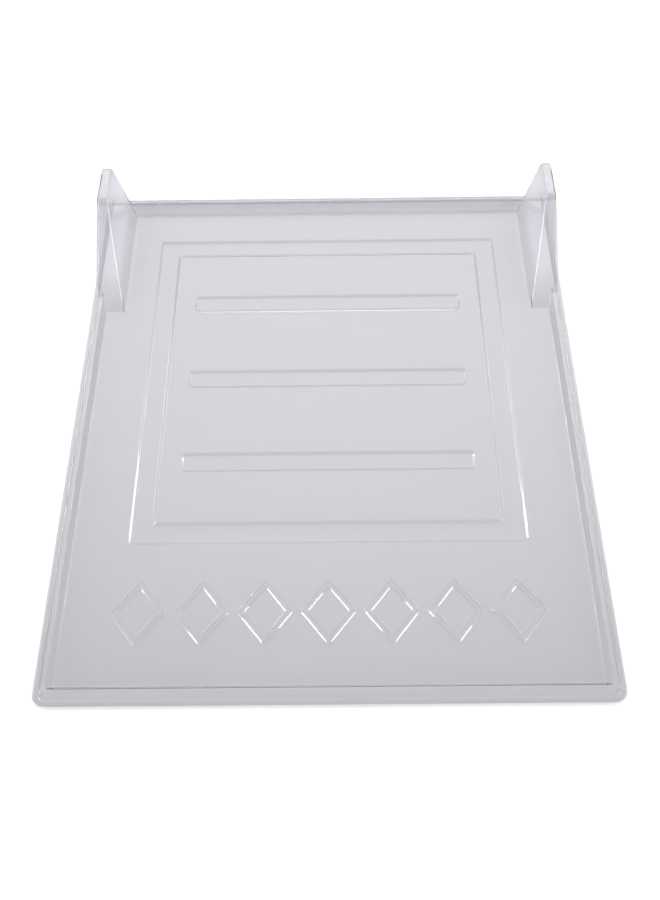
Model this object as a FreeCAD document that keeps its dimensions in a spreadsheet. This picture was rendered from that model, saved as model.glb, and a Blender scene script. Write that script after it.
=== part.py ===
import FreeCAD, Part
import os
import Sketcher

# Clear vacuum-formed letter tray. Millimetres, +Z up, +Y to the back, origin on the table under the middle
# of the tray. One sheet of plastic carries every feature: a flat floor, a shallow rectangular channel and
# three cross grooves pressed down into it as feet, a raised rim with a trimmed flange outside it, a row of
# raised lozenges on the front panel, and two hollow wedge-shaped posts at the rear corners. Each feature is
# a solid of its own, the thickness of the sheet, and meets its neighbours face to face.

doc = FreeCAD.newDocument("LetterTray")

DIMENSIONS = {
    # the whole tray
    "width": 254.0,
    "depth": 305.0,
    "sheet": 0.8,
    "foot_depth": 0.7,
    # rim section, from the flange inwards
    "flange_width": 2.3,
    "rim_rise": 4.8,
    "rim_outer_run": 0.6,
    "rim_top_width": 3.5,
    "rim_inner_run": 1.7,
    "rim_edge_radius": 0.7,
    # rectangular channel, to the middle of its sloping walls
    "channel_half_width": 92.7,
    "channel_width": 10.3,
    "channel_rear": 119.9,
    "channel_front": -73.9,
    "wall_run": 1.2,
    # three cross grooves
    "groove_half_length": 71.0,
    "groove_width": 9.6,
    "groove_middle": 22.3,
    "groove_pitch": 51.3,
    # raised lozenges
    "lozenge_count": 7.0,
    "lozenge_pitch": 28.4,
    "lozenge_length": 34.0,
    "lozenge_width": 26.0,
    "lozenge_stroke": 3.4,
    "lozenge_rise": 0.6,
    "lozenge_centre": -109.5,
    "lozenge_draft": 56.0,
    # rear posts
    "post_height": 37.0,
    "post_inner_base": 109.3,
    "post_front_base": 69.0,
    "post_top_inner": 117.8,
    "post_top_outer": 123.5,
    "post_top_front": 118.0,
    "post_top_rear": 142.0,
    "post_edge_radius": 1.5,
}

sheet = doc.addObject("Spreadsheet::Sheet", "Dims")
for row, (alias, value) in enumerate(DIMENSIONS.items(), start=1):
    sheet.set(f"A{row}", alias)
    sheet.set(f"B{row}", str(value))
    sheet.setAlias(f"B{row}", alias)
doc.recompute()

# Levels and lines worked out from the driving dimensions, as expressions.
FLOOR_LOW = "Dims.foot_depth"
FLOOR_TOP = "(Dims.foot_depth + Dims.sheet)"
RIM_TOP = f"({FLOOR_TOP} + Dims.rim_rise)"
RIM_WIDTH = "(Dims.flange_width + Dims.rim_outer_run + Dims.rim_top_width + Dims.rim_inner_run)"
SIDE = "(Dims.width / 2)"
END = "(Dims.depth / 2)"
INNER_SIDE = f"({SIDE} - {RIM_WIDTH})"
INNER_END = f"({END} - {RIM_WIDTH})"
CHANNEL_OUT = "(Dims.channel_half_width + Dims.wall_run / 2)"
CHANNEL_IN = "(Dims.channel_half_width - Dims.channel_width - Dims.wall_run / 2)"
CHANNEL_REAR_OUT = "(Dims.channel_rear + Dims.wall_run / 2)"
CHANNEL_REAR_IN = "(Dims.channel_rear - Dims.channel_width - Dims.wall_run / 2)"
CHANNEL_FRONT_OUT = "(Dims.channel_front - Dims.wall_run / 2)"
CHANNEL_FRONT_IN = "(Dims.channel_front + Dims.channel_width + Dims.wall_run / 2)"
GROOVE_X = "(Dims.groove_half_length + Dims.wall_run / 2)"
GROOVE_Y = "((Dims.groove_width + Dims.wall_run) / 2)"
GROOVES = {"rear": 1, "middle": 0, "front": -1}
POST_OUTER = f"({SIDE} - Dims.flange_width)"
POST_REAR = f"({END} - Dims.flange_width)"
MIRROR = {"left": -1, "right": 1}


def number(expression):
    """The value of an expression on the sheet's cells, as a plain number."""
    value = sheet.evalExpression(expression)
    return float(getattr(value, "Value", value))


def new_body(label):
    body = doc.addObject("PartDesign::Body", label)
    body.Label = label
    return body


def plane_of(body, role):
    return next(item for item in body.Origin.OriginFeatures if item.Role == role)


def polygon(body, name, role, loops, level=None):
    """A sketch of closed polygons on one of the body's own planes, every corner bound to the sheet."""
    sketch = body.newObject("Sketcher::SketchObject", f"{body.Label}_{name}")
    sketch.AttachmentSupport = [(plane_of(body, role), "")]
    sketch.MapMode = "FlatFace"
    if level is not None:
        sketch.setExpression("AttachmentOffset.Base.z", level)
    for corners in loops:
        first = sketch.GeometryCount
        places = [FreeCAD.Vector(number(across), number(up), 0) for across, up in corners]
        for index, place in enumerate(places):
            following = places[(index + 1) % len(places)]
            sketch.addGeometry(Part.LineSegment(place, following))
        for index, (across, up) in enumerate(corners):
            line = first + index
            following = first + (index + 1) % len(corners)
            sketch.addConstraint(Sketcher.Constraint("Coincident", line, 2, following, 1))
            for kind, expression in (("DistanceX", across), ("DistanceY", up)):
                constraint = Sketcher.Constraint(kind, -1, 1, line, 1, number(expression))
                place = sketch.addConstraint(constraint)
                sketch.setExpression(f"Constraints[{place}]", expression)
    sketch.Visibility = False
    return sketch


def rectangle(x_low, x_high, y_low, y_high):
    return [(x_low, y_low), (x_high, y_low), (x_high, y_high), (x_low, y_high)]


def pad(body, name, sketch, length, downwards=False, symmetric=False):
    feature = body.newObject("PartDesign::Pad", f"{body.Label}_{name}")
    feature.Profile = sketch
    feature.setExpression("Length", length)
    feature.Reversed = downwards
    feature.Midplane = symmetric
    return feature


def cut_away(body, name, sketch):
    """A pocket through everything, both ways, along the sketch's normal. It has to remove material."""
    doc.recompute()
    before = body.Shape.Volume
    feature = body.newObject("PartDesign::Pocket", f"{body.Label}_{name}")
    feature.Profile = sketch
    feature.Type = "ThroughAll"
    feature.Midplane = True
    doc.recompute()
    if not body.Shape.Volume < before:
        raise RuntimeError(f"{feature.Name} removes nothing")
    return feature


def loft(body, name, lower, upper, cutting=False):
    kind = "PartDesign::SubtractiveLoft" if cutting else "PartDesign::AdditiveLoft"
    feature = body.newObject(kind, f"{body.Label}_{name}")
    feature.Profile = lower
    feature.Sections = [upper]
    feature.Ruled = True
    return feature


def round_edges(body, name, base, radius, wanted):
    """A fillet on the edges that the test picks out."""
    doc.recompute()
    names = [f"Edge{index}" for index, edge in enumerate(base.Shape.Edges, start=1) if wanted(edge)]
    feature = body.newObject("PartDesign::Fillet", f"{body.Label}_{name}")
    feature.Base = (base, names)
    feature.setExpression("Radius", radius)
    return feature


def times(sign, expression):
    return f"({sign} * {expression})"


def rim_section(place):
    """The rim's section: place(inset) gives the line at that distance inside the trimmed edge."""
    slope = "(Dims.rim_inner_run / Dims.rim_rise)"
    crown_in = "(Dims.flange_width + Dims.rim_outer_run + Dims.rim_top_width)"
    wall = f"(Dims.sheet * sqrt(1 + {slope} * {slope}))"
    under_top = f"({RIM_TOP} - Dims.sheet)"
    outline = [
        ("0", FLOOR_LOW),
        ("0", FLOOR_TOP),
        ("Dims.flange_width", FLOOR_TOP),
        ("(Dims.flange_width + Dims.rim_outer_run)", RIM_TOP),
        (crown_in, RIM_TOP),
        (RIM_WIDTH, FLOOR_TOP),
        (RIM_WIDTH, FLOOR_LOW),
        (f"({RIM_WIDTH} + {slope} * Dims.sheet - {wall})", FLOOR_LOW),
        (f"({crown_in} + {slope} * Dims.sheet - {wall})", under_top),
        ("(Dims.flange_width + Dims.rim_outer_run + Dims.sheet)", under_top),
        ("(Dims.flange_width + Dims.sheet)", FLOOR_LOW),
    ]
    return [(place(inset), height) for inset, height in outline]


def is_crown(edge):
    """A straight edge along the top of the rim."""
    box = edge.BoundBox
    lengthwise = max(box.XLength, box.YLength) > number("Dims.rim_top_width") * 1.5
    return box.ZLength < 0.01 and lengthwise and box.ZMin > number(RIM_TOP) - 0.01


def floor_sheet(label, loops):
    body = new_body(label)
    outline = polygon(body, "outline", "XY_Plane", loops, level=FLOOR_LOW)
    body.Tip = pad(body, "pad", outline, "Dims.sheet")
    return body


def make_floors():
    """The flat parts of the floor."""
    field = [rectangle(times(-1, CHANNEL_IN), CHANNEL_IN, CHANNEL_FRONT_IN, CHANNEL_REAR_IN)]
    for step in GROOVES.values():
        centre = f"(Dims.groove_middle + {step} * Dims.groove_pitch)"
        low, high = f"({centre} - {GROOVE_Y})", f"({centre} + {GROOVE_Y})"
        field.append(rectangle(times(-1, GROOVE_X), GROOVE_X, low, high))
    floor_sheet("floor_field", field)
    for side, sign in MIRROR.items():
        corners = [
            (CHANNEL_OUT, CHANNEL_FRONT_OUT),
            (INNER_SIDE, CHANNEL_FRONT_OUT),
            (INNER_SIDE, "Dims.post_front_base"),
            ("Dims.post_inner_base", "Dims.post_front_base"),
            ("Dims.post_inner_base", CHANNEL_REAR_OUT),
            (CHANNEL_OUT, CHANNEL_REAR_OUT),
        ]
        floor_sheet(f"side_floor_{side}", [[(times(sign, across), along) for across, along in corners]])
    post_side = "Dims.post_inner_base"
    floor_sheet("rear_floor", [rectangle(times(-1, post_side), post_side, CHANNEL_REAR_OUT, INNER_END)])
    front = rectangle(times(-1, INNER_SIDE), INNER_SIDE, times(-1, INNER_END), CHANNEL_FRONT_OUT)
    floor_sheet("front_panel", [front])


def make_channels():
    """The rectangular channel: four straight lengths of one drafted section, mitred at the corners."""
    def section(outer, inner):
        """Up the outer wall, along the bottom and up the inner wall; outer and inner are at floor level."""
        sign = 1 if number(outer) > number(inner) else -1
        steps = [(outer, "0"), (outer, f"-{sign} * Dims.wall_run"),
                 (inner, f"{sign} * Dims.wall_run"), (inner, "0")]
        top = [(f"({line} + {shift})", level) for (line, shift), level in
               zip(steps, (FLOOR_TOP, "Dims.sheet", "Dims.sheet", FLOOR_TOP))]
        bottom = [(f"({line} + {shift})", level) for (line, shift), level in
                  zip(reversed(steps), (FLOOR_LOW, "0", "0", FLOOR_LOW))]
        return top + bottom

    rear_ends = (CHANNEL_REAR_OUT, CHANNEL_REAR_IN)
    front_ends = (CHANNEL_FRONT_OUT, CHANNEL_FRONT_IN)
    middle = f"(({CHANNEL_REAR_OUT} + {CHANNEL_FRONT_OUT}) / 2)"
    run = f"({CHANNEL_REAR_OUT} - {CHANNEL_FRONT_OUT})"

    for side, sign in MIRROR.items():
        body = new_body(f"channel_{side}")
        across = section(times(sign, CHANNEL_OUT), times(sign, CHANNEL_IN))
        outline = polygon(body, "section", "XZ_Plane", [across], level=times(-1, middle))
        pad(body, "length", outline, run, symmetric=True)
        for end, (outer, inner) in (("rear", rear_ends), ("front", front_ends)):
            corner = [(times(sign, CHANNEL_OUT), outer), (times(sign, CHANNEL_IN), inner),
                      (times(sign, CHANNEL_IN), outer)]
            mitre = polygon(body, f"mitre_{end}_line", "XY_Plane", [corner])
            body.Tip = cut_away(body, f"mitre_{end}", mitre)

    for end, (outer, inner) in (("rear", rear_ends), ("front", front_ends)):
        body = new_body(f"channel_{end}")
        outline = polygon(body, "section", "YZ_Plane", [section(outer, inner)])
        pad(body, "length", outline, f"(2 * {CHANNEL_OUT})", symmetric=True)
        for side, sign in MIRROR.items():
            corner = [(times(sign, CHANNEL_OUT), outer), (times(sign, CHANNEL_IN), inner),
                      (times(sign, CHANNEL_OUT), inner)]
            mitre = polygon(body, f"mitre_{side}_line", "XY_Plane", [corner])
            body.Tip = cut_away(body, f"mitre_{side}", mitre)


def make_grooves():
    """Cross grooves: shallow closed troughs pressed down to the level of the table."""
    for place, step in GROOVES.items():
        body = new_body(f"cross_groove_{place}")
        centre = f"(Dims.groove_middle + {step} * Dims.groove_pitch)"

        def outline(name, level, inset):
            return polygon(body, name, "XY_Plane", [rectangle(
                f"({inset} - {GROOVE_X})", f"({GROOVE_X} - {inset})",
                f"({centre} - {GROOVE_Y} + {inset})", f"({centre} + {GROOVE_Y} - {inset})")], level=level)

        pad(body, "mouth", outline("mouth_line", FLOOR_LOW, "0"), "Dims.sheet")
        loft(body, "trough", outline("trough_low", "0", "Dims.wall_run"),
             outline("trough_high", FLOOR_LOW, "0"))
        body.Tip = loft(body, "hollow", outline("hollow_low", "Dims.sheet", "Dims.wall_run"),
                        outline("hollow_high", FLOOR_TOP, "0"), cutting=True)


def upright_axis(body, across):
    """An upright line at the rim's inner corner, to turn the corner's section about."""
    line = body.newObject("PartDesign::Line", f"{body.Label}_axis")
    line.AttachmentSupport = [(plane_of(body, "XY_Plane"), "")]
    line.MapMode = "ObjectZ"
    line.setExpression("AttachmentOffset.Base.x", across)
    line.setExpression("AttachmentOffset.Base.y", f"(-1 * {INNER_END})")
    return line


def make_rims():
    """The raised rim: a straight length on each side and a quarter turn at each front corner."""
    for side, sign in MIRROR.items():
        body = new_body(f"rim_{side}")
        section = rim_section(lambda inset: times(sign, f"({SIDE} - {inset})"))
        outline = polygon(body, "section", "XZ_Plane", [section], level=INNER_END)
        length = pad(body, "length", outline, f"({INNER_END} + Dims.post_top_front)", downwards=True)
        round_edges(body, "crown", length, "Dims.rim_edge_radius", is_crown)
        # the post's sloping front takes over from the rim
        slope = [("Dims.post_front_base", "0"), ("Dims.post_front_base", FLOOR_TOP),
                 ("Dims.post_top_front", "Dims.post_height"), (END, "Dims.post_height"), (END, "0")]
        body.Tip = cut_away(body, "post_front", polygon(body, "post_front_line", "YZ_Plane", [slope]))

        corner = new_body(f"rim_corner_{side}")
        outline = polygon(corner, "section", "XZ_Plane", [section], level=INNER_END)
        axis = upright_axis(corner, times(sign, INNER_SIDE))
        turn = corner.newObject("PartDesign::Revolution", f"{corner.Label}_turn")
        turn.Profile = outline
        turn.ReferenceAxis = (axis, ["Edge1"])
        turn.Angle = 90
        turn.Reversed = sign > 0
        corner.Tip = turn

    for end, sign in (("rear", 1), ("front", -1)):
        body = new_body(f"rim_{end}")
        section = rim_section(lambda inset: times(sign, f"({END} - {inset})"))
        outline = polygon(body, "section", "YZ_Plane", [section])
        length = pad(body, "length", outline, f"(2 * {INNER_SIDE})", symmetric=True)
        body.Tip = round_edges(body, "crown", length, "Dims.rim_edge_radius", is_crown)
        if end == "front":
            continue
        for side, mirror in MIRROR.items():
            slope = [("Dims.post_inner_base", "0"), ("Dims.post_inner_base", FLOOR_TOP),
                     ("Dims.post_top_inner", "Dims.post_height"), (SIDE, "Dims.post_height"), (SIDE, "0")]
            line = [(times(mirror, across), up) for across, up in slope]
            body.Tip = cut_away(body, f"post_{side}", polygon(body, f"post_{side}_line", "XZ_Plane", [line]))


def make_lozenges():
    """Seven raised lozenge outlines in a row across the front panel."""
    body = new_body("front_lozenges")
    body.AllowCompound = True
    start = "(-1 * Dims.lozenge_pitch * (Dims.lozenge_count - 1) / 2)"
    reach = "sqrt(Dims.lozenge_length * Dims.lozenge_length + Dims.lozenge_width * Dims.lozenge_width)"

    def loop(inset_x, inset_y):
        wide = f"(Dims.lozenge_width / 2 - {inset_x})"
        long = f"(Dims.lozenge_length / 2 - {inset_y})"
        return [(f"({start} + {wide})", "Dims.lozenge_centre"), (start, f"(Dims.lozenge_centre + {long})"),
                (f"({start} - {wide})", "Dims.lozenge_centre"), (start, f"(Dims.lozenge_centre - {long})")]

    inner = loop(f"(Dims.lozenge_stroke * {reach} / Dims.lozenge_length)",
                 f"(Dims.lozenge_stroke * {reach} / Dims.lozenge_width)")
    outline = polygon(body, "outline", "XY_Plane", [loop("0", "0"), inner], level=FLOOR_TOP)
    raised = pad(body, "rise", outline, "Dims.lozenge_rise")
    raised.setExpression("TaperAngle", "-1 * Dims.lozenge_draft")
    doc.recompute()
    row = body.newObject("PartDesign::LinearPattern", "front_lozenges_row")
    row.Originals = [raised]
    row.Direction = (outline, ["H_Axis"])
    row.setExpression("Length", "Dims.lozenge_pitch * (Dims.lozenge_count - 1)")
    row.setExpression("Occurrences", "Dims.lozenge_count")
    body.Tip = row


def make_posts():
    """Hollow wedge posts, open underneath, with the flange carried round the tray's rear corner."""
    rise = "(Dims.post_height - Dims.foot_depth - Dims.sheet)"
    under_top = "(Dims.post_height - Dims.sheet)"
    foot = ("Dims.post_inner_base", POST_OUTER, "Dims.post_front_base", POST_REAR)
    top = ("Dims.post_top_inner", "Dims.post_top_outer", "Dims.post_top_front", "Dims.post_top_rear")
    inwards = (1, -1, 1, -1)
    # how far each wall leans inwards for each unit of height
    leans = [f"({way} * ({high} - {low}) / {rise})" for way, high, low in zip(inwards, top, foot)]
    for side, sign in MIRROR.items():
        body = new_body(f"post_{side}")

        profile = [("Dims.post_front_base", FLOOR_TOP), ("Dims.post_top_front", "Dims.post_height"),
                   ("Dims.post_top_rear", "Dims.post_height"), (POST_REAR, FLOOR_TOP)]
        start = "Dims.post_inner_base" if sign > 0 else times(-1, POST_OUTER)
        block = pad(body, "block", polygon(body, "side_line", "YZ_Plane", [profile], level=start),
                    f"({POST_OUTER} - Dims.post_inner_base)")

        beyond = "(Dims.post_height + 1)"
        for name, low, high, away in (("inner", foot[0], top[0], -1), ("outer", foot[1], top[1], 1)):
            clear = f"({low} + {away})"
            slope = [(clear, FLOOR_TOP), (low, FLOOR_TOP), (high, "Dims.post_height"),
                     (high, beyond), (clear, beyond)]
            line = [(times(sign, across), up) for across, up in slope]
            block = cut_away(body, f"{name}_slope", polygon(body, f"{name}_line", "XZ_Plane", [line]))

        level = number(FLOOR_TOP) + 0.01
        round_edges(body, "edges", block, "Dims.post_edge_radius", lambda edge: edge.BoundBox.ZMax > level)

        def outline(name, level, inner, outer, front, rear):
            box = rectangle(times(sign, inner), times(sign, outer), front, rear)
            return polygon(body, name, "XY_Plane", [box], level=level)

        pad(body, "skirt", outline("skirt_line", FLOOR_LOW, *foot), "Dims.sheet")
        walls = [f"(Dims.sheet * sqrt(1 + {lean} * {lean}))" for lean in leans]
        low = [f"({line} + {way} * {wall})" for line, way, wall in zip(foot, inwards, walls)]
        high = [f"({line} + {way} * ({wall} - {lean} * Dims.sheet))"
                for line, way, wall, lean in zip(top, inwards, walls, leans)]
        loft(body, "hollow", outline("hollow_low", FLOOR_LOW, *low), outline("hollow_high", under_top, *high),
             cutting=True)
        flange = [
            (POST_OUTER, "Dims.post_front_base"), (SIDE, "Dims.post_front_base"), (SIDE, END),
            ("Dims.post_inner_base", END), ("Dims.post_inner_base", POST_REAR), (POST_OUTER, POST_REAR),
        ]
        corner = [(times(sign, across), along) for across, along in flange]
        outer = polygon(body, "flange_line", "XY_Plane", [corner], level=FLOOR_LOW)
        trim = pad(body, "flange", outer, "Dims.sheet")
        tip = FreeCAD.Vector(sign * number(SIDE), number(END), number(FLOOR_TOP))
        body.Tip = round_edges(
            body, "flange_corner", trim, "Dims.flange_width + Dims.post_edge_radius",
            lambda edge: len(edge.Vertexes) == 2 and edge.BoundBox.XLength + edge.BoundBox.YLength < 0.01
            and min(vertex.Point.distanceToPoint(tip) for vertex in edge.Vertexes) < 0.01)


def check_and_export():
    doc.recompute()
    for item in doc.Objects:
        if "Invalid" in item.State or "Error" in item.State:
            raise RuntimeError(f"{item.Name} failed: {item.State}")
    os.makedirs("parts", exist_ok=True)
    bodies = [item for item in doc.Objects if item.TypeId == "PartDesign::Body"]
    for body in bodies:
        if body.Shape.isNull() or not body.Shape.isValid() or body.Shape.Volume <= 0:
            raise RuntimeError(f"{body.Label} has no valid solid")
    for body in bodies:
        body.Shape.exportStep(f"parts/{body.Label}.step")
        box = body.Shape.BoundBox
        print(f"{body.Label}: {len(body.Shape.Solids)} solid(s), {body.Shape.Volume:.1f} mm3, "
              f"x {box.XMin:.2f}..{box.XMax:.2f}, y {box.YMin:.2f}..{box.YMax:.2f}, "
              f"z {box.ZMin:.2f}..{box.ZMax:.2f}")


make_floors()
make_channels()
make_grooves()
make_rims()
make_lozenges()
make_posts()
check_and_export()
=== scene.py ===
import math

import bpy
import numpy as np
from mathutils import Euler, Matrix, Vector, geometry


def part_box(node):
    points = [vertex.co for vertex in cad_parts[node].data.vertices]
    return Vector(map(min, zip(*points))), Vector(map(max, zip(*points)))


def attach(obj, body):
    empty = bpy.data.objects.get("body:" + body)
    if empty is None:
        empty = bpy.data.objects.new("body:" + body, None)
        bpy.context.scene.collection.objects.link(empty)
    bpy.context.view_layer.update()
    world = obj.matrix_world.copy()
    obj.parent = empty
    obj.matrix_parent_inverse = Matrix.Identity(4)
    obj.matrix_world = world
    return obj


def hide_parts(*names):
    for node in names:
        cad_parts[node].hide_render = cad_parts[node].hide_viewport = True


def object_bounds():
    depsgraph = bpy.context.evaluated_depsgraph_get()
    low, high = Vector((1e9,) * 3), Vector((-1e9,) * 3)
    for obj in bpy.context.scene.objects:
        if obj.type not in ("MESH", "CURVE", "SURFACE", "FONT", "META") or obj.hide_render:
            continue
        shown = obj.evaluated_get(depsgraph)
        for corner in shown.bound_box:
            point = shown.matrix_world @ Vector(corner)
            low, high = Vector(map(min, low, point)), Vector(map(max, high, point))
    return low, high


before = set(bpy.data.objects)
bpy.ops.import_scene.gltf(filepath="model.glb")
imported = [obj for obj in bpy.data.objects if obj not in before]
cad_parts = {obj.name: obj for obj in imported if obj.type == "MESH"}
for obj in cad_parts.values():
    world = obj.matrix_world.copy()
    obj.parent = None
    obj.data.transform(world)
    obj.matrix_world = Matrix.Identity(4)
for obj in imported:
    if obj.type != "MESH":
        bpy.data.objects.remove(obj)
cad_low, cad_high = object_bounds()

# The tray is one sheet of clear plastic, formed over a mould. Its upper surface is built once, in
# millimetres, as strips and flats that share their points. The lower surface lies one sheet thickness
# under it, along the surface's own direction. The skin is then cut into one closed piece for each CAD node.

MM = 0.001


def span(node):
    """Lowest and highest corner of a CAD node, in millimetres."""
    low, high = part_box(node)
    return np.array(low) / MM, np.array(high) / MM


# Sizes read from the CAD frame
HALF_WIDTH = cad_high[0] / MM
HALF_DEPTH = cad_high[1] / MM
FLOOR = span("floor_field")[1][2]
SHEET = FLOOR - span("floor_field")[0][2]
BED = span("channel_front")[0][2] + SHEET
RIM_TOP = span("rim_front")[1][2]
RIM_WIDTH = HALF_WIDTH + span("rim_left")[1][0]
RING_X = (span("channel_right")[1][0], span("channel_right")[0][0])
RING_FRONT = span("channel_front")[0][1]
RING_REAR = span("channel_rear")[1][1]
LOZENGE_TOP = span("front_lozenges")[1][2]
POST_FOOT_X = span("post_right")[0][0]
POST_FOOT_Y = span("post_right")[0][1]
POST_TOP = span("post_right")[1][2]

# Sizes of the section that boxes don't show, the same as in the CAD source
FLANGE = 2.3
OUTER_RUN = 0.6
INNER_RUN = 1.7
GROOVE_RUN = 1.2
POST_TOP_X = (117.8, 123.5)
POST_TOP_Y = (118.0, 142.0)
LOZENGE_WIDTH, LOZENGE_LENGTH = 26.0, 34.0
LOZENGE_COUNT = 7
LOZENGE_DRAFT = math.radians(56)
STROKE = 3.4

# Shapes that only the formed sheet has
POST_REAR_BEVEL = 3.6          # how far a post's inner face stands back at the rear rim
SHOULDER_RISE = 4              # a post's slope meets the post's outer wall at this height over the rim,
SHOULDER_OUT = 0.32            # and that wall is this far outside the rim's edge there
LEDGE = 1.25                   # level strip between the rim's inner foot and a post's inner face

# Roundings of the section, as radii
OUTER_FOOT = 0.7               # from the flange to the outer wall
OUTER_EDGE = (1.0, 1.5)        # from the outer wall to the top, on the rim and on the posts
EDGE_GROWTH = 8                # height over the rim at which the second of them is reached
INNER_EDGE = 1.0               # from the rim's top to its inner wall
INNER_FOOT = 0.8               # from the inner wall to the floor
CROWN = 2.6                    # from a post's top to its inner face,
CROWN_SHARE = 0.95             # or this share of what there is room for
POST_FOOT = 1.2                # from that face to the floor
POST_RIDGE = (3.0, 2.2, 1.5)   # along a post: the foot of its slope, its top, and the rear of its top
GROOVE_EDGE = 1.2
LOZENGE_EDGE = 0.6

# Corners seen from above, as radii
REAR_CORNER = 3.8
FRONT_CORNER = 6.5
LEAST_CORNER = 1.2             # of the rim's inner lines at the front
RING_CORNERS = (3.0, 0.6, 2.8, 0.4)   # channel: outer edge, both sides of the bed, inner edge
RING_BED = 1.6                 # distance of that bed from the channel's edges
GROOVE_CORNERS = (3.2, 0.8)    # cross grooves: edge and bed
LOZENGE_CORNERS = (1.9, 0.5)   # outer and inner side of the stroke

# Mesh fineness
ARC = 6                        # steps in a rounding
CORNER_ARC = ARC + 4           # steps in a front corner
LOZENGE_ARC = 4
CORNER_SHARE = 0.47            # largest share of a side that a rounding takes
CORNER_LEAD = 0.6              # straight part kept beside a front corner
FOLD_LIMIT = 0.15              # least share of its upper area that a face keeps on the lower surface
THINNEST = 1 / 8               # about the least share of its thickness that the sheet keeps at a tight edge
THIN_STEP = 0.8                # each try at such an edge keeps this share of the last one
MARGIN = 1.3                   # flat kept beyond the last rounding, so that flats keep an upright normal
LOZENGE_MARGIN = 0.9
POST_LEAD = 1.6                # flat kept in front of a post's slope
FLANGE_POINTS = 4
FLANGE_FLAT = 1.1              # part of the flange beside the outer wall that has no points
RIM_POINTS = FLANGE_POINTS + 4 * (ARC + 1)   # points of a section down to the rim's inner foot
CELL = 11.0                    # grid of the flats
LONG_CELL = 24                 # spacing along straight rims
LEAST_STEP = 0.03              # a post lower than this over its ground is level with it
REAR_EDGE_REACH = 1.5          # the side rim's top follows the rear rim's this close to the outer rear wall
SLOPE_ROWS = (80, 114, 8)      # rows across a post's slope: first, last and spacing
TOP_ROWS = (140, 6)            # rows behind the channel: last and spacing
FLANGE_ROWS = (0.7, 0.4)       # rows on the rear flange: distance from the wall, and spacing


# ---------------------------------------------------------------- outlines

def arc_at(a, b, c, radius, steps):
    """The corner b between a and c as steps + 1 points on an arc, smaller where the sides are short."""
    to_a, to_c = a - b, c - b
    side_a, side_c = np.linalg.norm(to_a), np.linalg.norm(to_c)
    to_a, to_c = to_a / side_a, to_c / side_c
    inside = math.acos(max(-1.0, min(1.0, float(to_a @ to_c))))
    setback = min(radius / math.tan(inside / 2), CORNER_SHARE * side_a, CORNER_SHARE * side_c)
    reach = setback / math.cos(inside / 2)
    middle = (to_a + to_c) / np.linalg.norm(to_a + to_c)
    centre = b + middle * reach
    start, end = b + to_a * setback - centre, b + to_c * setback - centre
    sweep = math.pi - inside
    return [centre + (start * math.sin((1 - t) * sweep) + end * math.sin(t * sweep)) / math.sin(sweep)
            for t in np.linspace(0, 1, steps + 1)]


def rounded(points, radii, steps=ARC):
    """An open line whose inner points become arcs. A radius of None keeps a single point there.
    The number of points stays the same when corners flatten out, so that lines can be joined into a grid."""
    points = [np.array(p, float) for p in points]
    real = [0]
    for i in range(1, len(points) - 1):
        before, after = points[i] - points[real[-1]], points[i + 1] - points[i]
        bend = abs(before[0] * after[1] - before[1] * after[0])
        if radii[i - 1] is not None and bend > 1e-4 * (np.linalg.norm(before) + 1e-9) + 1e-6:
            real.append(i)
    real.append(len(points) - 1)
    line = [points[0]]
    for i in range(1, len(points) - 1):
        if radii[i - 1] is None:
            line.append(points[i])
        elif i in real:
            at = real.index(i)
            line += arc_at(points[real[at - 1]], points[i], points[real[at + 1]], radii[i - 1], steps)
        else:
            line += [points[i]] * (steps + 1)
    return line + [points[-1]]


def round_loop(corners, radius, steps=ARC):
    """A closed outline with rounded corners."""
    corners = [np.array(c, float) for c in corners]
    count = len(corners)
    loop = []
    for i in range(count):
        loop += arc_at(corners[i - 1], corners[i], corners[(i + 1) % count], radius, steps)
    return loop


def along(start, end, spacing):
    """Values from start to end, both included, about spacing apart."""
    return list(np.linspace(start, end, max(2, round(abs(end - start) / spacing) + 1)))


def inside(points, loops):
    """Which of the points lie inside an odd number of the loops."""
    found = np.zeros(len(points), bool)
    for loop in loops:
        a, b = np.array(loop), np.roll(np.array(loop), -1, axis=0)
        for (ax, ay), (bx, by) in zip(a, b):
            if ay != by:
                level = (points[:, 1] > ay) != (points[:, 1] > by)
                found ^= level & (points[:, 0] < ax + (points[:, 1] - ay) / (by - ay) * (bx - ax))
    return found


def clearance(points, loops):
    """Distance from each point to the nearest loop."""
    nearest = np.full(len(points), 1e9)
    for loop in loops:
        a, b = np.array(loop), np.roll(np.array(loop), -1, axis=0)
        for p, q in zip(a, b):
            side = q - p
            share = np.clip((points - p) @ side / max(side @ side, 1e-12), 0, 1)
            nearest = np.minimum(nearest, np.linalg.norm(points - p - share[:, None] * side, axis=1))
    return nearest


# ---------------------------------------------------------------- the upper surface

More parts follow.
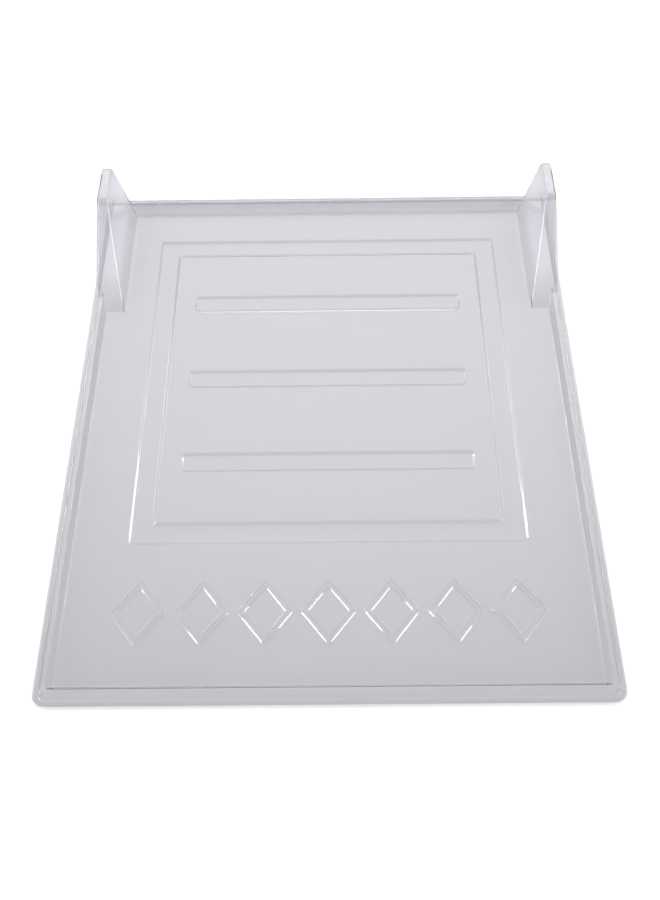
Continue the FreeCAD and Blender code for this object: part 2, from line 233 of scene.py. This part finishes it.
class Surface:
    """The upper surface: shared points, and faces listed under the CAD node that they stand for."""

    def __init__(self):
        self.points, self.known, self.faces = [], {}, {}
        self.turned = False

    def point(self, x, y, z):
        key = (round(float(x), 3), round(float(y), 3), round(float(z), 3))
        if key not in self.known:
            self.known[key] = len(self.points)
            self.points.append((float(x), float(y), float(z)))
        return self.known[key]

    def face(self, node, ids):
        """One face, turned so that it looks up, without the points that fall together. An upright face
        turns as the one before it did."""
        kept = [p for i, p in enumerate(ids) if p != ids[i - 1]]
        if len(set(kept)) < 3:
            return
        flat = np.array([self.points[p][:2] for p in kept])
        after = np.roll(flat, -1, axis=0)
        area = (flat[:, 0] * after[:, 1] - flat[:, 1] * after[:, 0]).sum()
        if abs(area) > 1e-8:
            self.turned = area < 0
        if self.turned:
            kept.reverse()
        self.faces.setdefault(node, []).append(tuple(kept))

    def weave(self, rows, node_of, closed=False):
        """Faces between neighbouring rows of points. node_of(column) names the CAD node."""
        count = len(rows[0])
        for low, high in zip(rows, rows[1:]):
            for i in range(count if closed else count - 1):
                j = (i + 1) % count
                self.face(node_of(i), (low[i], low[j], high[j], high[i]))

    def flat(self, z, loops, node_of, cuts=()):
        """A level area inside the first loop and outside the others. node_of(x, y) names the CAD node."""
        outlines = [np.array([self.points[p][:2] for p in loop]) for loop in loops]
        ids = sorted({p for loop in loops for p in loop})
        place = {p: i for i, p in enumerate(ids)}
        edges = [(place[loop[i - 1]], place[loop[i]]) for loop in loops for i in range(len(loop))]
        edges += [(place[a], place[b]) for a, b in cuts]
        low, high = outlines[0].min(0), outlines[0].max(0)
        grid = np.array([(x, y) for x in along(low[0], high[0], CELL)[1:-1]
                         for y in along(low[1], high[1], CELL)[1:-1]]).reshape(-1, 2)
        if len(grid):
            lines = outlines + [np.array([self.points[a][:2], self.points[b][:2]]) for a, b in cuts]
            grid = grid[inside(grid, outlines) & (clearance(grid, lines) > CELL / 4)]
        ids += [self.point(x, y, z) for x, y in grid]
        spots = [Vector(self.points[p][:2]) for p in ids]
        made = geometry.delaunay_2d_cdt(spots, edges, [], 0, 1e-6, True)
        source = [ids[origin[0]] for origin in made[3]]
        middles = np.array([np.mean([made[0][v] for v in face], axis=0) for face in made[2]])
        for face, middle, keep in zip(made[2], middles, inside(middles, outlines)):
            if keep:
                self.face(node_of(*middle), [source[v] for v in face])


def rim_zone_rows(surface, side):
    """The zone of one rear post: side rim, rear corner and the post itself, as a grid of points.
    side is 1 for the right-hand post and -1 for the left-hand one."""
    start = POST_FOOT_Y - POST_LEAD
    wall_foot = HALF_DEPTH - FLANGE
    wall_top = wall_foot - OUTER_RUN
    rear_inner = HALF_DEPTH - RIM_WIDTH
    ridge = np.array(rounded(
        [(start, FLOOR), (POST_FOOT_Y, FLOOR), (POST_TOP_Y[0], POST_TOP), (POST_TOP_Y[1], POST_TOP),
         (wall_top, RIM_TOP), (wall_foot, FLOOR), (HALF_DEPTH, FLOOR)],
        [*POST_RIDGE, OUTER_EDGE[0], OUTER_FOOT]))
    rear = np.array(rounded(
        [(start, FLOOR), (rear_inner - 2 * MARGIN, FLOOR), (rear_inner, FLOOR),
         (rear_inner + INNER_RUN, RIM_TOP), (wall_top, RIM_TOP), (wall_foot, FLOOR), (HALF_DEPTH, FLOOR)],
        [None, INNER_FOOT, INNER_EDGE, OUTER_EDGE[0], OUTER_FOOT]))
    slope = (POST_TOP - FLOOR) / (POST_TOP_Y[0] - POST_FOOT_Y)
    # rows close together where the slope comes out of the rim's top
    meeting = [POST_FOOT_Y + (RIM_TOP - FLOOR + d) / slope for d in (-1, -0.5, 0, 0.5, 1)]
    extra = [*along(*SLOPE_ROWS), *along(RING_REAR + MARGIN, *TOP_ROWS),
             *along(wall_foot + FLANGE_ROWS[0], HALF_DEPTH, FLANGE_ROWS[1])]
    lines = sorted({round(y, 3) for y in [*ridge[:, 0], *rear[:, 0], *meeting, *extra]})
    rows = []
    for y in lines:
        back = float(np.interp(y, rear[:, 0], rear[:, 1]))
        post = float(np.interp(y, ridge[:, 0], ridge[:, 1]))
        post = back if post - back < LEAST_STEP else post
        side_rim = RIM_TOP if y < wall_top - REAR_EDGE_REACH else back
        # the two heights blend into one another where they meet on the slope
        gap = abs(post - side_rim)
        outer = max(post, side_rim) + (max(0.0, 1 - gap) ** 2 / 4 if y < POST_TOP_Y[0] else 0)
        bevel = float(np.interp(y, [POST_TOP_Y[1], wall_top], [0, POST_REAR_BEVEL]))
        rows.append([surface.point(side * x, y, z) for x, y, z in
                     [(*corner_turn(x, y), z) for x, z in section(outer, post, back, bevel)]])
    return lines, rows


def corner_turn(x, y):
    """Draws the square rear corner of the flange in to a round one. Points inside the rim stay."""
    dx, dy = x - (HALF_WIDTH - REAR_CORNER), y - (HALF_DEPTH - REAR_CORNER)
    reach = max(dx, dy)
    inner = REAR_CORNER - FLANGE
    if min(dx, dy) <= 0 or reach <= inner:
        return x, y
    weight = (reach - inner) / FLANGE
    scale = 1 + weight * (reach / math.hypot(dx, dy) - 1)
    return x - dx * (1 - scale), y - dy * (1 - scale)


def section(outer, post, back, bevel=0.0):
    """A cut across the right-hand side, from the flange's edge inwards, as (x, z) points: the flange,
    the outer wall up to height outer, the post's ledge at height post, and the ground level back.
    bevel is how far the post's inner face stands back there."""
    foot = HALF_WIDTH - FLANGE
    rim_out, rim_in = foot - OUTER_RUN, HALF_WIDTH - RIM_WIDTH + INNER_RUN
    face_x = float(np.interp(outer, [FLOOR, RIM_TOP, RIM_TOP + SHOULDER_RISE, POST_TOP],
                             [foot, rim_out, rim_out + SHOULDER_OUT, POST_TOP_X[1]]))
    lean = (POST_TOP_X[0] - POST_FOOT_X) / (POST_TOP - FLOOR)
    drop = INNER_RUN * max(0.0, RIM_TOP - post) / (RIM_TOP - FLOOR)
    inner_x = rim_in - (drop if outer > post else 0)
    edge = float(np.interp(outer, [RIM_TOP, RIM_TOP + EDGE_GROWTH], OUTER_EDGE))
    crown_x = POST_FOOT_X + lean * (post - FLOOR) + bevel
    room = inner_x - LEDGE - crown_x
    crown = min(CROWN, CROWN_SHARE * room / math.tan(math.atan2(1, lean) / 2))
    flange = [(x, FLOOR) for x in np.linspace(HALF_WIDTH, foot + FLANGE_FLAT, FLANGE_POINTS)]
    rim = [(foot, FLOOR), (face_x, outer), (rim_in, outer), (inner_x, post)]
    rim_radii = [OUTER_FOOT, edge, INNER_EDGE, INNER_FOOT]
    inward = [(inner_x - LEDGE, post), (crown_x, post),
              (POST_FOOT_X + lean * (back - FLOOR) + bevel, back), (POST_FOOT_X - 2 * MARGIN, back)]
    return rounded(flange + rim + inward,
                   [None] * (FLANGE_POINTS - 1) + rim_radii + [None, crown, POST_FOOT])


def rim_profile():
    """The rim's own section, without a post, as (distance in from the edge, height)."""
    return [(HALF_WIDTH - x, z) for x, z in section(RIM_TOP, FLOOR, FLOOR)[:RIM_POINTS + 1]]


def make_rims(surface, start, floor_cut):
    """The rim along the left side, the front and the right side, joined by two round corners. It starts
    at the posts, and has a row at floor_cut. Returns its innermost line."""
    profile = rim_profile()
    deepest = profile[-1][0]
    turn = deepest + LEAST_CORNER + CORNER_LEAD
    stops = along(start, floor_cut, LONG_CELL) + along(floor_cut, turn - HALF_DEPTH, LONG_CELL)[1:]
    front = along(turn - HALF_WIDTH, HALF_WIDTH - turn, LONG_CELL)
    rows = []
    for inset, z in profile:
        x, y = HALF_WIDTH - inset, HALF_DEPTH - inset
        radius = max(FRONT_CORNER - inset, LEAST_CORNER)
        left = [(-x, s) for s in stops]
        bend = arc_at(np.array(left[-1]), np.array((-x, -y)), np.array((front[0], -y)), radius, CORNER_ARC)
        middle = [(f, -y) for f in front]
        path = left + [tuple(p) for p in bend] + middle
        path += [(-px, py) for px, py in reversed(left + [tuple(p) for p in bend])]
        rows.append([surface.point(px, py, z) for px, py in path])
    side, corner = len(stops), CORNER_ARC + 1
    edges = [side - 1, side + corner, side + corner + len(front) - 1, len(rows[0]) - side]
    names = ["rim_left", "rim_corner_left", "rim_front", "rim_corner_right", "rim_right"]

    def node_of(column):
        return names[sum(column >= e for e in edges)]

    surface.weave(rows, node_of)
    return rows[-1]


def make_ring(surface):
    """The rectangular channel in the floor, mitred into four pieces. Returns its outer and inner loop."""
    width = RING_X[0] - RING_X[1]
    profile = rounded([(-MARGIN, FLOOR), (0, FLOOR), (GROOVE_RUN, BED), (width - GROOVE_RUN, BED),
                       (width, FLOOR), (width + MARGIN, FLOOR)], [GROOVE_EDGE] * 4)
    loops = []
    for inset, z in profile:
        x, low, high = RING_X[0] - inset, RING_FRONT + inset, RING_REAR - inset
        radius = float(np.interp(inset, [-MARGIN, RING_BED, width - RING_BED, width + MARGIN],
                                 RING_CORNERS))
        loop = round_loop([(-x, low), (x, low), (x, high), (-x, high)], radius)
        loops.append([surface.point(px, py, z) for px, py in loop])
    names = ["channel_left", "channel_front", "channel_right", "channel_rear"]

    def node_of(column):
        return names[((column - ARC // 2) // (ARC + 1) + 1) % 4]

    surface.weave(loops, node_of, closed=True)
    return loops[0], loops[-1]


def make_groove(surface, node):
    """One shallow groove across the floor. Returns its outer loop."""
    low, high = span(node)
    profile = rounded([(-MARGIN, FLOOR), (0, FLOOR), (GROOVE_RUN, BED), (GROOVE_RUN + MARGIN, BED)],
                      [GROOVE_EDGE] * 2)
    loops = []
    for inset, z in profile:
        x0, x1, y0, y1 = low[0] + inset, high[0] - inset, low[1] + inset, high[1] - inset
        radius = float(np.interp(inset, [-MARGIN, GROOVE_RUN + MARGIN], GROOVE_CORNERS))
        loop = round_loop([(x0, y0), (x1, y0), (x1, y1), (x0, y1)], radius)
        loops.append([surface.point(px, py, z) for px, py in loop])
    surface.weave(loops, lambda column: node, closed=True)
    surface.flat(BED, [loops[-1]], lambda x, y: node)
    return loops[0]


def make_lozenges(surface):
    """A plain row of raised lozenge outlines. Returns the loops around them."""
    low, high = span("front_lozenges")
    half_high = (high[1] - low[1]) / 2
    half_wide = half_high * LOZENGE_WIDTH / LOZENGE_LENGTH
    run = (LOZENGE_TOP - FLOOR) * math.tan(LOZENGE_DRAFT)
    depth = half_wide * half_high / math.hypot(half_wide, half_high)
    profile = rounded([(-LOZENGE_MARGIN, FLOOR), (0, FLOOR), (run, LOZENGE_TOP), (STROKE - run, LOZENGE_TOP),
                       (STROKE, FLOOR), (STROKE + LOZENGE_MARGIN, FLOOR)], [LOZENGE_EDGE] * 4)
    centres = np.linspace(low[0] + half_wide, high[0] - half_wide, LOZENGE_COUNT)
    outer = []
    for centre in centres:
        loops = []
        for inset, z in profile:
            share = (depth - inset) / depth
            x, y, middle = half_wide * share, half_high * share, (low[1] + high[1]) / 2
            radius = float(np.interp(inset, [-1, STROKE + 1], LOZENGE_CORNERS))
            loop = round_loop([(centre - x, middle), (centre, middle - y), (centre + x, middle),
                               (centre, middle + y)], radius, LOZENGE_ARC)
            loops.append([surface.point(px, py, z) for px, py in loop])
        surface.weave(loops, lambda column: "front_lozenges", closed=True)
        surface.flat(FLOOR, [loops[-1]], lambda x, y: "front_lozenges")
        outer.append(loops[0])
    return outer


def make_surface():
    """The whole upper surface."""
    surface = Surface()
    lines, right = rim_zone_rows(surface, 1)
    left = rim_zone_rows(surface, -1)[1]
    start = lines[0]
    front_cut, rear_cut = RING_FRONT - MARGIN, RING_REAR + MARGIN
    for rows, node in ((right, "post_right"), (left, "post_left")):
        surface.weave(rows, lambda column: node)
    rim_inner = make_rims(surface, start, front_cut)

    behind = next(i for i, y in enumerate(lines) if y >= HALF_DEPTH - RIM_WIDTH - 2 * MARGIN - 1e-3)
    edge = POST_FOOT_X - 2 * MARGIN
    columns = along(-edge, edge, LONG_CELL)
    rear_rows = []
    for i in range(behind, len(lines)):
        z = surface.points[right[i][-1]][2]
        rear_rows.append([surface.point(x, lines[i], z) for x in columns])
    surface.weave(rear_rows, lambda column: "rim_rear")

    ring_outer, ring_inner = make_ring(surface)
    grooves = [make_groove(surface, f"cross_groove_{name}") for name in ("rear", "middle", "front")]
    surface.flat(FLOOR, [ring_inner, *grooves], lambda x, y: "floor_field")

    lozenges = make_lozenges(surface)
    right_edge, left_edge = ([*rows[0][RIM_POINTS:], *(row[-1] for row in rows[:behind + 1])]
                             for rows in (right, left))
    outline = list(dict.fromkeys(rim_inner + right_edge + rear_rows[0][::-1] + left_edge[::-1]))

    def nearest(y, x_sign, ids):
        found = [p for p in ids if abs(surface.points[p][1] - y) < 2e-3 and surface.points[p][0] * x_sign > 0]
        return max(found, key=lambda p: abs(surface.points[p][0]))

    cuts = [(nearest(y, s, outline), nearest(y, s, ring_outer))
            for y in (front_cut, rear_cut) for s in (-1, 1)]

    def node_of(x, y):
        if y < front_cut:
            return "front_panel"
        if y > rear_cut:
            return "rear_floor"
        return "side_floor_left" if x < 0 else "side_floor_right"

    surface.flat(FLOOR, [outline, ring_outer, *lozenges], node_of, cuts)
    return surface


# ---------------------------------------------------------------- from surface to closed pieces

def surface_normals(surface):
    """The surface's direction at each point."""
    mesh = bpy.data.meshes.new("whole")
    mesh.from_pydata(surface.points, [], [f for faces in surface.faces.values() for f in faces])
    normals = np.zeros(len(surface.points) * 3, np.float32)
    mesh.vertex_normals.foreach_get("vector", normals)
    bpy.data.meshes.remove(mesh)
    return normals.reshape(-1, 3).astype(float)


def lower_side(surface, normals):
    """The lower surface: a sheet thickness under the upper one, or less where a tight edge would fold it."""
    upper = np.array(surface.points)
    corners = np.array([(f[0], f[1], f[2], f[-1]) for faces in surface.faces.values() for f in faces])
    depth = np.full(len(upper), SHEET)
    while True:
        lower = upper - depth[:, None] * normals
        across = [np.cross(s[corners[:, 2]] - s[corners[:, 0]], s[corners[:, 3]] - s[corners[:, 1]])
                  for s in (upper, lower)]
        folded = (across[0] * across[1]).sum(1) < FOLD_LIMIT * (across[0] ** 2).sum(1)
        folded &= depth[corners].min(1) > SHEET * THINNEST
        if not folded.any():
            return lower
        depth[np.unique(corners[folded])] *= THIN_STEP


def edge_owners(faces):
    """Each edge, as a pair of points, and how many of the faces have it."""
    owners = {}
    for face in faces:
        for i in range(len(face)):
            key = frozenset((face[i - 1], face[i]))
            owners[key] = owners.get(key, 0) + 1
    return owners


def make_piece(name, faces, upper, lower, normals, outer_edges, materials):
    """One closed piece of the sheet: upper faces, lower faces, and a wall round them. The wall is
    plastic on the tray's own edge, and unseen where the sheet carries on into the next piece."""
    used = sorted({p for face in faces for p in face})
    place = {p: i for i, p in enumerate(used)}
    count = len(used)
    points = [tuple(upper[p] * MM) for p in used] + [tuple(lower[p] * MM) for p in used]
    owners = edge_owners(faces)
    shape, shading, slots = [], [], []
    for face in faces:
        ids = [place[p] for p in face]
        shape.append(ids)
        shading += [normals[p] for p in face]
        slots.append(0)
        shape.append([i + count for i in reversed(ids)])
        shading += [-normals[p] for p in reversed(face)]
        slots.append(0)
    for face in faces:
        for i in range(len(face)):
            a, b = face[i - 1], face[i]
            if owners[frozenset((a, b))] == 1:
                shape.append([place[b], place[a], place[a] + count, place[b] + count])
                out = np.cross(upper[b] - upper[a], lower[a] - upper[a])
                out = -out / max(np.linalg.norm(out), 1e-9)
                shading += [out] * 4
                slots.append(0 if frozenset((a, b)) in outer_edges else 1)
    mesh = bpy.data.meshes.new(name)
    mesh.from_pydata(points, [], shape)
    for material in materials:
        mesh.materials.append(material)
    mesh.polygons.foreach_set("material_index", slots)
    mesh.polygons.foreach_set("use_smooth", [True] * len(shape))
    mesh.normals_split_custom_set([tuple(n) for n in shading])
    mesh.update()
    piece = bpy.data.objects.new(name, mesh)
    bpy.context.scene.collection.objects.link(piece)
    return piece


def make_tray(materials):
    """All pieces of the moulding, each standing for one CAD node."""
    surface = make_surface()
    normals = surface_normals(surface)
    upper, lower = np.array(surface.points), lower_side(surface, normals)
    every = edge_owners([f for faces in surface.faces.values() for f in faces])
    outer_edges = {edge for edge, owners in every.items() if owners == 1}
    for node, faces in surface.faces.items():
        piece = make_piece(f"{node}_sheet", faces, upper, lower, normals, outer_edges, materials)
        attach(piece, "root")
        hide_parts(node)


# ---------------------------------------------------------------- materials

def new_material(name):
    """A material without nodes yet, its nodes and its links."""
    material = bpy.data.materials.new(name)
    material.use_nodes = True
    material.node_tree.nodes.clear()
    return material, material.node_tree.nodes, material.node_tree.links


def smooth_step(nodes, start, end, low, high):
    """A node that runs smoothly from low to high while its input runs from start to end."""
    step = nodes.new("ShaderNodeMapRange")
    step.interpolation_type = "SMOOTHSTEP"
    for name, value in (("From Min", start), ("From Max", end), ("To Min", low), ("To Max", high)):
        step.inputs[name].default_value = value
    return step


DRAWN_FOOT = (0.006, 0.016)        # metres up; the sheet thins out where it is drawn up into the posts, and towards their tops painted shade takes half of that clearing back
POST_TOP_PAINTED_SHADE = (0.020, 0.032)         # and half as much towards their tops
SHEET_TINTS = ((0.648, 0.645, 0.67), (0.74, 0.737, 0.774))        # flat sheet, and thinned out sheet
SHADOW_TINTS = ((0.79, 0.79, 0.803), (0.92, 0.92, 0.935))         # the light that each of them lets through


def clear_plastic():
    """Clear, faintly lavender-grey sheet with a soft haze and a slightly wavy gloss, clearer up the posts,
    with painted shade darkening their tops.
    """
    material, nodes, links = new_material("clear_plastic")
    place = nodes.new("ShaderNodeTexCoord")

    haze = nodes.new("ShaderNodeTexNoise")
    haze.inputs["Scale"].default_value = 45.0
    haze.inputs["Detail"].default_value = 5.0
    links.new(place.outputs["Object"], haze.inputs["Vector"])
    gloss = nodes.new("ShaderNodeMapRange")
    gloss.inputs["To Min"].default_value = 0.02
    gloss.inputs["To Max"].default_value = 0.07
    links.new(haze.outputs["Fac"], gloss.inputs["Value"])

    waves = nodes.new("ShaderNodeTexNoise")
    waves.inputs["Scale"].default_value = 22.0
    waves.inputs["Detail"].default_value = 1.5
    links.new(place.outputs["Object"], waves.inputs["Vector"])
    bump = nodes.new("ShaderNodeBump")
    bump.inputs["Strength"].default_value = 0.12
    bump.inputs["Distance"].default_value = 0.00025
    links.new(waves.outputs["Fac"], bump.inputs["Height"])

    height = nodes.new("ShaderNodeSeparateXYZ")
    links.new(place.outputs["Object"], height.inputs[0])
    thinning_and_top_shade = nodes.new("ShaderNodeMath")
    thinning_and_top_shade.operation = "MULTIPLY"
    # the second step is painted shade: it darkens the posts' tops half way back to the flat sheet's tint
    steps = (smooth_step(nodes, *DRAWN_FOOT, 0.0, 1.0), smooth_step(nodes, *POST_TOP_PAINTED_SHADE, 1.0, 0.5))
    for i, step in enumerate(steps):
        links.new(height.outputs["Z"], step.inputs["Value"])
        links.new(step.outputs["Result"], thinning_and_top_shade.inputs[i])

    def tint(flat, thin):
        """Colour of the flat sheet, blended to that of the thinner sheet of the posts, and half way back at
        their tops as painted shade.
        """
        blend = nodes.new("ShaderNodeMix")
        blend.data_type = "RGBA"
        blend.inputs["A"].default_value, blend.inputs["B"].default_value = (*flat, 1), (*thin, 1)
        links.new(thinning_and_top_shade.outputs[0], blend.inputs["Factor"])
        return blend.outputs["Result"]

    sheet = nodes.new("ShaderNodeBsdfPrincipled")
    links.new(tint(*SHEET_TINTS), sheet.inputs["Base Color"])
    sheet.inputs["Transmission Weight"].default_value = 1.0
    sheet.inputs["IOR"].default_value = 1.1
    sheet.inputs["Coat Weight"].default_value = 0.32
    sheet.inputs["Coat Roughness"].default_value = 0.03
    sheet.inputs["Coat IOR"].default_value = 2.0
    links.new(gloss.outputs["Result"], sheet.inputs["Roughness"])
    links.new(bump.outputs["Normal"], sheet.inputs["Normal"])
    links.new(bump.outputs["Normal"], sheet.inputs["Coat Normal"])

    clear = nodes.new("ShaderNodeBsdfTransparent")
    links.new(tint(*SHADOW_TINTS), clear.inputs["Color"])
    ray = nodes.new("ShaderNodeLightPath")
    either = nodes.new("ShaderNodeMath")
    either.operation = "MAXIMUM"
    links.new(ray.outputs["Is Shadow Ray"], either.inputs[0])
    links.new(ray.outputs["Is Diffuse Ray"], either.inputs[1])
    mix = nodes.new("ShaderNodeMixShader")
    links.new(either.outputs[0], mix.inputs["Fac"])
    links.new(sheet.outputs[0], mix.inputs[1])
    links.new(clear.outputs[0], mix.inputs[2])
    out = nodes.new("ShaderNodeOutputMaterial")
    links.new(mix.outputs[0], out.inputs["Surface"])
    return material


def inner_joint():
    """The unseen face where one piece of the sheet carries on into the next."""
    material, nodes, links = new_material("inner_joint")
    shader = nodes.new("ShaderNodeBsdfPrincipled")
    shader.inputs["Alpha"].default_value = 0.0
    out = nodes.new("ShaderNodeOutputMaterial")
    links.new(shader.outputs[0], out.inputs["Surface"])
    return material


def pale_floor_material():
    """Matt and nearly white."""
    material, nodes, links = new_material("pale_floor")
    shader = nodes.new("ShaderNodeBsdfDiffuse")
    shader.inputs["Color"].default_value = (0.86, 0.86, 0.86, 1)
    out = nodes.new("ShaderNodeOutputMaterial")
    links.new(shader.outputs[0], out.inputs["Surface"])
    return material


# ---------------------------------------------------------------- stage, light, camera

FLOOR_DROP = 0.0003        # metres; keeps the stage clear of the tray's lowest faces
FLOOR_REACH = 6.0


def make_floor():
    """The ground under the tray, part of the stage."""
    r, z = FLOOR_REACH, cad_low[2] - FLOOR_DROP
    mesh = bpy.data.meshes.new("stage_floor")
    mesh.from_pydata([(-r, -r, z), (r, -r, z), (r, r, z), (-r, r, z)], [], [(0, 1, 2, 3)])
    mesh.materials.append(pale_floor_material())
    floor = bpy.data.objects.new("stage_floor", mesh)
    bpy.context.scene.collection.objects.link(floor)


GLOW_HEIGHT = math.radians(38)                            # of the glow's middle, straight behind the tray
GLOW_CORE, GLOW_REACH = math.radians(6), math.radians(36)     # where it starts to fade, and where it ends
GLOW_FLOOR = math.radians(24), math.radians(38)           # heights between which it fades out downwards
GLOW = 2.1                                                # brightness that it adds to the room's own
ROOM = 0.97

STRIP_DISTANCE = 1.75                                     # metres from the tray's middle
CENTRE = Vector((0, 0, 0))


def make_world():
    """A soft pale room with a glow behind the tray, above the height that the tray's low walls mirror."""
    world = bpy.data.worlds.new("studio")
    world.use_nodes = True
    nodes, links = world.node_tree.nodes, world.node_tree.links
    nodes.clear()
    place = nodes.new("ShaderNodeTexCoord")
    lobe = nodes.new("ShaderNodeVectorMath")
    lobe.operation = "DOT_PRODUCT"
    lobe.inputs[1].default_value = Vector((0.0, math.cos(GLOW_HEIGHT), math.sin(GLOW_HEIGHT)))
    links.new(place.outputs["Generated"], lobe.inputs[0])
    spread = smooth_step(nodes, math.cos(GLOW_REACH), math.cos(GLOW_CORE), 0.0, 1.0)
    links.new(lobe.outputs["Value"], spread.inputs["Value"])
    height = nodes.new("ShaderNodeSeparateXYZ")
    links.new(place.outputs["Generated"], height.inputs[0])
    lift = smooth_step(nodes, *(math.sin(a) for a in GLOW_FLOOR), 0.0, GLOW)
    links.new(height.outputs["Z"], lift.inputs["Value"])
    level = nodes.new("ShaderNodeMath")
    level.operation = "MULTIPLY_ADD"
    links.new(spread.outputs["Result"], level.inputs[0])
    links.new(lift.outputs["Result"], level.inputs[1])
    level.inputs[2].default_value = ROOM
    sky = nodes.new("ShaderNodeBackground")
    sky.inputs["Color"].default_value = (1.0, 1.0, 1.0, 1)
    links.new(level.outputs[0], sky.inputs["Strength"])
    out = nodes.new("ShaderNodeOutputWorld")
    links.new(sky.outputs[0], out.inputs["Surface"])
    bpy.context.scene.world = world


def area_light(name, place, size, radiance, mirrored=True, lighting=True):
    """A soft box of the given brightness, facing the tray's middle. It can be left out of reflections
    (mirrored) or only be there for them (lighting)."""
    data = bpy.data.lights.new(name, "AREA")
    data.shape = "RECTANGLE"
    data.size, data.size_y = size
    data.energy = radiance * math.pi * size[0] * size[1]
    light = bpy.data.objects.new(name, data)
    light.location = place
    light.rotation_euler = (CENTRE - Vector(place)).to_track_quat("-Z", "Y").to_euler()
    light.visible_glossy = light.visible_transmission = mirrored
    light.visible_diffuse = lighting
    bpy.context.scene.collection.objects.link(light)


def strip(name, azimuth, elevation, size, radiance):
    """A long soft box for reflections only. azimuth is in degrees from straight behind the tray, and is
    negative on the left."""
    turn, lift = math.radians(azimuth), math.radians(elevation)
    distance = STRIP_DISTANCE
    place = (distance * math.sin(turn) * math.cos(lift), distance * math.cos(turn) * math.cos(lift),
             distance * math.sin(lift))
    area_light(name, place, size, radiance, lighting=False)


def make_lights():
    """Strips that draw the white lines on the folds, a panel that the front rim mirrors, and a wash."""
    strip("left_strip", -47, 41, (0.75, 0.26), 14.0)
    strip("left_side_strip", -98, 39, (0.90, 0.34), 12.0)
    strip("right_strip", 47, 41, (0.75, 0.26), 11.0)
    strip("right_side_strip", 98, 39, (0.90, 0.34), 9.0)
    area_light("front_panel", (0.0, -1.45, 0.85), (2.5, 0.85), 1.3, lighting=False)
    area_light("rear_wash", (0.0, 0.75, 1.2), (2.2, 1.0), 1.8, mirrored=False)


CAMERA_PLACE = (0.00444, -0.32068, 0.44259)               # metres
CAMERA_TURN = (34.043, 0.628, -0.268)                     # degrees
LENS = 43.37


def make_camera():
    """The photo's angle."""
    data = bpy.data.cameras.new("camera")
    data.lens = LENS
    data.sensor_width = 36.0
    data.clip_start = 0.01
    camera = bpy.data.objects.new("camera", data)
    camera.location = CAMERA_PLACE
    camera.rotation_euler = Euler([math.radians(a) for a in CAMERA_TURN])
    bpy.context.scene.collection.objects.link(camera)
    bpy.context.scene.camera = camera


def main():
    bpy.context.scene.view_settings.view_transform = "Standard"
    make_tray([clear_plastic(), inner_joint()])
    make_floor()
    make_world()
    make_lights()
    make_camera()


main()
